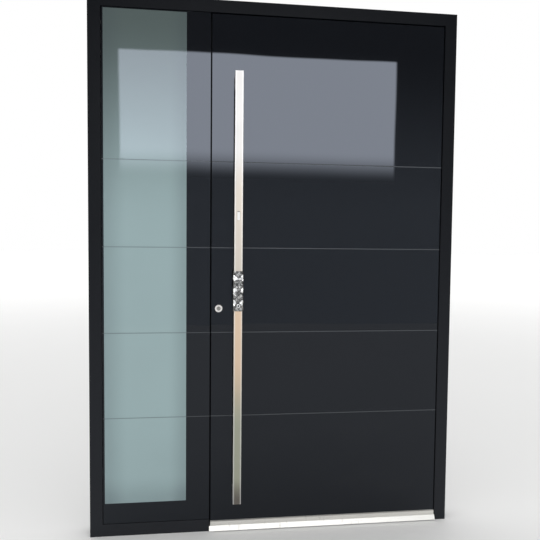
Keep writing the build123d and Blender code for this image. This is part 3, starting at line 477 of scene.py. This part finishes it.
plate_low, plate_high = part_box("lock_face_plate")
keeper_low, keeper_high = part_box("keeper_main")
side_low, side_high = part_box("keepers_side")
hinge_low, hinge_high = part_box("hinge_frame_parts")
leaf_hinge_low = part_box("hinge_leaf_parts")[0]
end_inset = 0.012  # from the end of a face plate or keeper to its screw
side_keeper_length = 0.120
hinge_half = 0.060
hinge_middle = 1.250
hinge_plate = 0.005
hinge_screw_pitch = 0.042
hinge_screw_inset = 0.012
hinge_places = (hinge_low.z + hinge_half, hinge_middle, hinge_high.z - hinge_half)
plate_line = (plate_low.y + plate_high.y) / 2
case_edges = (0.879, 1.129, 0.270, 0.390, 1.730, 1.850)
hinge_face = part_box("leaf_inner_sheet")[1].y + hinge_plate
to_opening, to_hinges, to_room = Vector((1, 0, 0)), Vector((-1, 0, 0)), Vector((0, 1, 0))
screws = {}
for index, z in enumerate((plate_low.z + end_inset, *case_edges, plate_high.z - end_inset)):
    screws[f"face_plate_screw_{index + 1}"] = ("leaf", (plate_low.x, plate_line, z), to_hinges)
keeper_ends = (
    keeper_low.z + end_inset, keeper_high.z - end_inset,
    side_low.z + end_inset, side_low.z + side_keeper_length - end_inset,
    side_high.z - side_keeper_length + end_inset, side_high.z - end_inset,
)
for index, z in enumerate(keeper_ends):
    screws[f"keeper_screw_{index + 1}"] = ("frame", (keeper_high.x, plate_line, z), to_opening)
for index, z in enumerate(hinge_places):
    for row, drop in enumerate((-hinge_screw_pitch, 0.0, hinge_screw_pitch)):
        spot = (hinge_high.x - hinge_screw_inset, hinge_face, z + drop)
        screws[f"hinge_frame_screw_{index + 1}_{row + 1}"] = ("frame", spot, to_room)
        spot = (leaf_hinge_low.x + hinge_screw_inset, hinge_face, z + drop)
        screws[f"hinge_leaf_screw_{index + 1}_{row + 1}"] = ("leaf", spot, to_room)
for name, (body, spot, facing) in screws.items():
    piece = bpy.data.objects.new(name, screw_pattern.copy())
    bpy.context.scene.collection.objects.link(piece)
    turn = Vector((0, 0, 1)).rotation_difference(facing)
    piece.data.transform(Matrix.Translation(spot) @ turn.to_matrix().to_4x4())
    bpy.context.view_layer.objects.active = piece
    settle(name, body, plated)

# Hinges: steel halves in the same black coat as the frame. The bright wear where the pin turns is not
# drawn.
hinge_coat = Finish("hinge_coat", IOR=1.5)
hinge_coat.set(
    Base_Color=hinge_coat.blend(hinge_coat.noise(30, 3), (0.010, 0.011, 0.012), (0.018, 0.019, 0.021)),
    Roughness=0.32 + 0.16 * hinge_coat.noise(60, 4),
)
hinge_coat.relief(hinge_coat.noise(1100, 2), 0.00005)
hinge_coat.cover("hinge_frame_parts", "hinge_leaf_parts")

# Lever: cast and brushed stainless steel, a round neck with a flat grip, pushed on its square
# spindle. The brushing runs along the grip.
lever_steel = Finish("lever_steel", Metallic=1.0)
grip_brush = lever_steel.noise(2400, 3, (0.008, 1, 1))
lever_steel.set(
    Base_Color=lever_steel.blend(lever_steel.noise(12, 3), (0.66, 0.645, 0.62), (0.76, 0.745, 0.72)),
    Roughness=0.24 + 0.13 * grip_brush,
)
lever_steel.relief(grip_brush, 0.00003)
lever_steel.cover("inside_lever")

# Pull bar: square stainless tube on two short legs, closed by end caps and bolted through the
# leaf. The brushing runs lengthwise, handling leaves its tone and sheen uneven, and a painted
# highlight lightens its edges. Its tone is painted in bands, warmer and then darker towards its
# foot: painted reflection of warm surroundings and painted shade.
bar_steel = Finish("brushed_bar", Metallic=1.0)
bar_brush = bar_steel.noise(2600, 3, (1, 1, 0.006))
handled = bar_steel.noise(9, 5, (1, 1, 0.4))
bar_low, bar_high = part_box("pull_bar")
bar_middle = (bar_low.x + bar_high.x) / 2
bar_half = (bar_high.x - bar_low.x) / 2
# Painted reflection and shade: bands of warmer, then darker tone down the bar.
painted_reflection_bands = (  # from one height down to another, the steel takes on this tone
    (1.64, 1.44, (0.57, 0.515, 0.445)),
    (1.13, 0.95, (0.70, 0.54, 0.395)),
    (0.76, 0.47, (0.40, 0.405, 0.32)),
    (0.27, 0.16, (0.17, 0.155, 0.135)),
)
steel_tone = bar_steel.blend(handled, (0.625, 0.61, 0.59), (0.575, 0.56, 0.54))
for start, end, shade in painted_reflection_bands:
    steel_tone = bar_steel.blend(bar_steel.fade(bar_steel.z, start, end), steel_tone, shade)
# Painted highlight: the base is lightened towards both sides of the bar.
highlight_width = 0.0065
highlight_full = 0.0025
edge_highlight = bar_steel.fade(
    abs(bar_steel.x - bar_middle), bar_half - highlight_width, bar_half - highlight_full
)
bar_steel.set(
    Base_Color=bar_steel.blend(0.45 * edge_highlight, steel_tone, (0.94, 0.94, 0.93)),
    Roughness=0.44 + 0.10 * bar_brush + 0.08 * handled,
)
bar_steel.relief(bar_brush, 0.00003)
bar_steel.cover("pull_bar", "pull_bar_end_caps", "pull_bar_legs")

# Window in the bar's front: a pale moulded insert, glossy, set a little back, with a painted
# shadow under its upper rim and painted shade along its sides.
insert = Finish("pale_insert", IOR=1.49)
insert_low, insert_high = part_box("pull_bar_window")
insert_middle = (insert_low.x + insert_high.x) / 2
insert_half = insert_high.x - insert_middle
# Painted shadow under the upper rim, painted shade along both sides.
rim_shadow = insert.fade(insert.z, insert_high.z - 0.0055, insert_high.z - 0.0025)
side_shade = insert.fade(abs(insert.x - insert_middle), insert_half - 0.0016, insert_half - 0.0004)
clean = insert.blend(insert.noise(220, 3), (0.93, 0.93, 0.91), (0.98, 0.98, 0.965))
shaded_edge = insert.blend(0.45 * side_shade, clean, (0.30, 0.28, 0.25))
insert.set(
    Base_Color=insert.blend(0.9 * rim_shadow, shaded_edge, (0.10, 0.09, 0.075)),
    Roughness=0.16 + 0.1 * insert.noise(90),
)
insert.cover("pull_bar_window")

# Film round the grip: thin silvery packing film, wound on, crushed and taped, still in place.
# Its folds are pushed out in a diamond pattern and broken up into small crinkles.
film_low, film_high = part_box("grip_film")
film_middle = (film_low + film_high) / 2
film_room = 0.0026
film_end = 0.001
film_corner = 0.005
film_rows = 16
film_height = film_high.z - film_low.z - 2 * film_end
row_height = film_height / film_rows
fold_height = 0.0013
crumple = 0.0010
film_sheet = 0.0003
bpy.ops.mesh.primitive_cube_add(size=1, location=film_middle)
film = bpy.context.object
film.scale = (
    film_high.x - film_low.x - 2 * film_room, film_high.y - film_low.y - 2 * film_room, film_height,
)
bpy.ops.object.transform_apply(location=True, rotation=True, scale=True)
bpy.ops.object.mode_set(mode="EDIT")
pick(film, lambda face: abs(face.normal.z) > 0.9)
bpy.ops.mesh.delete(type="FACE")
pick(film, lambda edge: edge.calc_length() > 0.1, "edges")
bpy.ops.mesh.bevel(offset=film_corner, segments=2)
pick(film, lambda edge: edge.calc_length() > 0.1, "edges")
bpy.ops.mesh.subdivide(number_cuts=film_rows - 1)
pick(film, lambda edge: edge.calc_length() > 0.015, "edges")
bpy.ops.mesh.subdivide(number_cuts=3)


def on_fold(vert):
    """Whether a point of the film's grid stands on the crossing of two folds."""
    row = round((vert.co.z - film_low.z) / row_height)
    around = math.atan2(vert.co.y - film_middle.y, vert.co.x - film_middle.x)
    return 0 < row < film_rows and (row + round(around / (math.pi / 8))) % 2 == 0


pick(film, on_fold, "verts")
bpy.ops.transform.shrink_fatten(value=fold_height)
bpy.ops.mesh.select_all(action="SELECT")
bpy.ops.transform.vertex_random(offset=crumple, uniform=0.6, normal=0.4, seed=7)
bpy.ops.mesh.quads_convert_to_tris(quad_method="SHORTEST_DIAGONAL")
bpy.ops.mesh.subdivide(number_cuts=2, fractal=0.16, fractal_along_normal=0.8, seed=11)
bpy.ops.object.mode_set(mode="OBJECT")
sheet = film.modifiers.new("sheet", "SOLIDIFY")
sheet.thickness = film_sheet
sheet.offset = 0
bpy.ops.object.modifier_apply(modifier="sheet")

foil = Finish("packing_film", Metallic=0.92)
film_half = (film_high - film_low) / 2
beside = foil.x - film_middle.x
before = foil.y - film_middle.y
up_film = foil.z - film_low.z
outer_side = foil.fade(before, 0.0, -0.001)
hole_beside, hole_up = 0.001, 0.023
hole_radius, hole_soft = 0.0032, 0.0010
ring_radius, ring_soft = 0.0064, 0.0016
from_hole = ((beside - hole_beside) ** 2 + (up_film - hole_up) ** 2) ** 0.5
pale_ring = outer_side * foil.fade(from_hole, ring_radius + ring_soft, ring_radius)
punched = outer_side * foil.fade(from_hole, hole_radius + hole_soft, hole_radius)
folds_per_metre = 175
wander = 2.6 * foil.noise(38, 2)
rising_fold = abs(((beside + up_film - before) * folds_per_metre + wander).sine())
falling_fold = abs(((beside - up_film - before) * folds_per_metre - wander).sine())
# Painted shade: the diagonal creases are darkened.
shaded_crease = foil.fade(rising_fold.lesser(falling_fold), 0.34, 0.06)
crushed = foil.fade(foil.noise(62, 2), 0.38, 0.62)
silver = foil.blend(crushed, (0.11, 0.11, 0.108), (0.43, 0.425, 0.41))
silver = foil.blend(0.9 * shaded_crease, silver, (0.02, 0.02, 0.021))
# Painted highlight: bright broken patches towards the bar's corners, in rows up the film.
toward_corner = ((beside * (1 / film_half.x)) ** 2 + (before * (1 / film_half.y)) ** 2) ** 0.5
glint_rows_per_metre, glint_row_start = 120.8, 3.63
glint_breakup = 0.24 * (up_film * glint_rows_per_metre + glint_row_start).sine() + 0.5 * foil.noise(55, 2)
silver = foil.blend(foil.fade(toward_corner + glint_breakup, 1.41, 1.49), silver, (0.97, 0.97, 0.96))
silver = foil.blend(0.85 * pale_ring, silver, (0.92, 0.92, 0.91))
foil.set(
    Base_Color=foil.blend(punched, silver, (0.01, 0.01, 0.01)),
    Roughness=0.20 + 0.12 * foil.noise(180, 3),
)
foil.relief(foil.noise(300, 2) - 0.6 * shaded_crease, 0.0004)
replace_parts(settle("film_sleeve", "leaf", foil, 9.0), "grip_film")

# Cover caps: black plastic buttons pressed into the frame screw holes that the leaf hides when
# it is shut.
jamb_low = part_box("jamb_right_inner_shell")[0]
cap_radius = 0.0058
cap_proud = 0.0012
cap_edge = 0.0007
dimple_slope = 0.0003
fixing_line = 0.025
fixing_heights = (0.25, 0.85, 1.45, 2.05)
bpy.ops.mesh.primitive_cylinder_add(
    vertices=32, radius=cap_radius, depth=cap_proud,
    location=(jamb_low.x - cap_proud / 2, fixing_line, 0), rotation=(0, -math.pi / 2, 0),
)
button = bpy.context.object
bpy.ops.object.mode_set(mode="EDIT")
pick(button, lambda face: face.normal.z > 0.9)
bpy.ops.mesh.bevel(offset=cap_edge, segments=3)
pick(button, lambda face: face.normal.z > 0.9)
bpy.ops.mesh.inset(thickness=cap_radius * 0.3)
bpy.ops.mesh.inset(thickness=dimple_slope)
bpy.ops.transform.translate(value=(dimple_slope, 0, 0))
bpy.ops.object.mode_set(mode="OBJECT")
bpy.ops.object.transform_apply(location=True, rotation=True, scale=True)
cap_pattern = button.data.copy()
bpy.data.objects.remove(button)
for index, z in enumerate(fixing_heights):
    cap = bpy.data.objects.new(f"fixing_cap_{index + 1}", cap_pattern.copy())
    bpy.context.scene.collection.objects.link(cap)
    cap.data.transform(Matrix.Translation((0, 0, z)))
    bpy.context.view_layer.objects.active = cap
    settle(cap.name, "frame", fibre)

# Studio: a plain pale floor and a white surround. A soft light window hangs before the door, in
# front of a screen that darkens upwards and that only reflections see, as dark glass is
# photographed.
floor_size = 160
floor_tone = Finish("studio_floor", Emission_Strength=1.0)
away = (floor_tone.x ** 2 + floor_tone.y ** 2) ** 0.5
floor_tone.set(
    Base_Color=floor_tone.blend(floor_tone.noise(0.8, 3), (0.86, 0.86, 0.855), (0.88, 0.88, 0.875)),
    Roughness=0.75,
    Emission_Color=floor_tone.blend(
        floor_tone.fade(away, 2.5, 14.0), (0.0, 0.0, 0.0), (0.20, 0.20, 0.20)
    ),
)
bpy.ops.mesh.primitive_plane_add(size=floor_size, location=(0, 0, 0))
floor = bpy.context.object
floor.name = "studio_floor"
floor.data.materials.append(floor_tone.material)

screen_width, screen_height = 24, 8
screen_y = -6.0
darken_from, darken_to = 1.6, 4.4
screen_tone = Finish("studio_screen")
rising = screen_tone.fade(screen_tone.z, darken_from, darken_to)
screen_tone.set(
    Base_Color=screen_tone.blend(rising, (0.80, 0.84, 0.89), (0.20, 0.205, 0.22)), Roughness=0.9
)
bpy.ops.mesh.primitive_plane_add(
    size=1, location=(0, screen_y, screen_height / 2), rotation=(-math.pi / 2, 0, 0)
)
screen = bpy.context.object
screen.scale = (screen_width, screen_height, 1)
bpy.ops.object.transform_apply(location=True, rotation=True, scale=True)
screen.name = "studio_screen"
screen.data.materials.append(screen_tone.material)

window_left, window_right, window_foot, window_top = -1.625, 2.625, 2.25, 4.12
window_y = screen_y + 0.1
window_tone = Finish("light_window", Emission_Strength=7.6)
lit = (
    window_tone.fade(window_tone.x, window_left, window_left + 0.05)
    * window_tone.fade(window_tone.x, window_right, window_right - 0.05)
    * window_tone.fade(window_tone.z, window_foot, window_foot + 0.45)
    * window_tone.fade(window_tone.z, window_top, window_top - 0.04)
)
unlit = window_tone.blend(
    window_tone.fade(window_tone.z, darken_from, darken_to),
    (0.095, 0.10, 0.105), (0.024, 0.0245, 0.026),
)
window_tone.set(
    Base_Color=(0.0, 0.0, 0.0), Emission_Color=window_tone.blend(lit, unlit, (0.96, 0.97, 1.0))
)
bpy.ops.mesh.primitive_plane_add(
    size=1, location=((window_left + window_right) / 2, window_y, (window_foot + window_top) / 2),
    rotation=(-math.pi / 2, 0, 0),
)
window = bpy.context.object
window.scale = (window_right - window_left, window_top - window_foot, 1)
bpy.ops.object.transform_apply(location=True, rotation=True, scale=True)
window.name = "light_window"
window.data.materials.append(window_tone.material)
for sheet in (screen, window):
    sheet.visible_camera = sheet.visible_diffuse = sheet.visible_shadow = False
    sheet.visible_transmission = False

world = bpy.data.worlds.new("surround")
bpy.context.scene.world = world
world.use_nodes = True
sky = Builder(world.node_tree)
camera_ray, glossy_ray, passing_ray = (
    sky.add("ShaderNodeLightPath", output=f"Is {kind} Ray")
    for kind in ("Camera", "Glossy", "Transmission")
)
lighting, backdrop = (
    sky.add("ShaderNodeBackground", None, {"Color": (1.0, 1.0, 1.0, 1.0), "Strength": strength})
    for strength in (0.95, 1.0)
)
seen = camera_ray.greater(glossy_ray.greater(passing_ray))
surround = sky.add("ShaderNodeMixShader", None, {0: seen, 1: lighting, 2: backdrop})
sky.tree.links.new(surround.socket, sky.tree.nodes["World Output"].inputs["Surface"])
sky.tree.nodes.remove(sky.tree.nodes["Background"])

# Camera: at the photograph's place and angle, a little left of the middle and turned right.
camera_data = bpy.data.cameras.new("photo_view")
camera_data.sensor_width = 36.0
camera_data.lens = 35.33
camera = bpy.data.objects.new("photo_view", camera_data)
bpy.context.scene.collection.objects.link(camera)
eye = (-0.2935, -2.296, 1.2365)
yaw, pitch, roll = math.radians(6.68), math.radians(-2.65), math.radians(0.54)
ahead = Vector((math.sin(yaw) * math.cos(pitch), math.cos(yaw) * math.cos(pitch), math.sin(pitch)))
level_right = Vector((math.cos(yaw), -math.sin(yaw), 0))
level_up = level_right.cross(ahead)
right = math.cos(roll) * level_right + math.sin(roll) * level_up
up = right.cross(ahead)
turned = Matrix((right, up, -ahead)).transposed().to_4x4()
camera.matrix_world = Matrix.Translation(eye) @ turned
bpy.context.scene.camera = camera
bpy.context.scene.view_settings.view_transform = "Standard"
